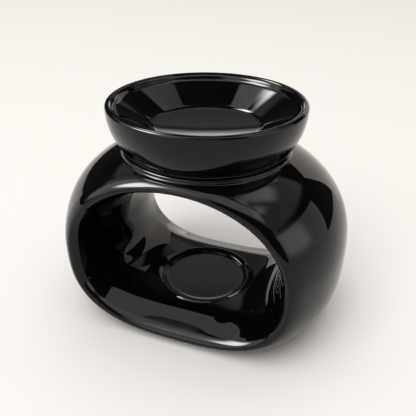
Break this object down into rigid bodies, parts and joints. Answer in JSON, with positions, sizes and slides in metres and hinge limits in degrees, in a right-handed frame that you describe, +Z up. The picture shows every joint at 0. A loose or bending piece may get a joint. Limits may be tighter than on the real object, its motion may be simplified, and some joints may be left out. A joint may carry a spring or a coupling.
{
  "type": "essential oil burner",
  "caption": "Black glazed ceramic oil burner: a barrel-shaped body with an oval tunnel for a tealight and a round oil dish that lifts off the collar on its crown.",
  "frame": {"origin": "on the table, below the middle of the body", "axes": "+X across the barrel, +Y through the tunnel from front to back, +Z up"},
  "size_m": [0.136, 0.0888, 0.1081],
  "materials": {
    "body_glaze": "gloss black glaze, foot wiped bare",
    "dish_glaze": "gloss black glaze"
  },
  "bodies": {
    "body": {"burner_body": "body_glaze"},
    "dish": {"oil_dish": "dish_glaze"}
  },
  "joints": [
    {"name": "dish_lift", "type": "slide", "parent": "body", "child": "dish", "axis": [0, 0, 1], "range_m": [0, 0.03]}
  ]
}
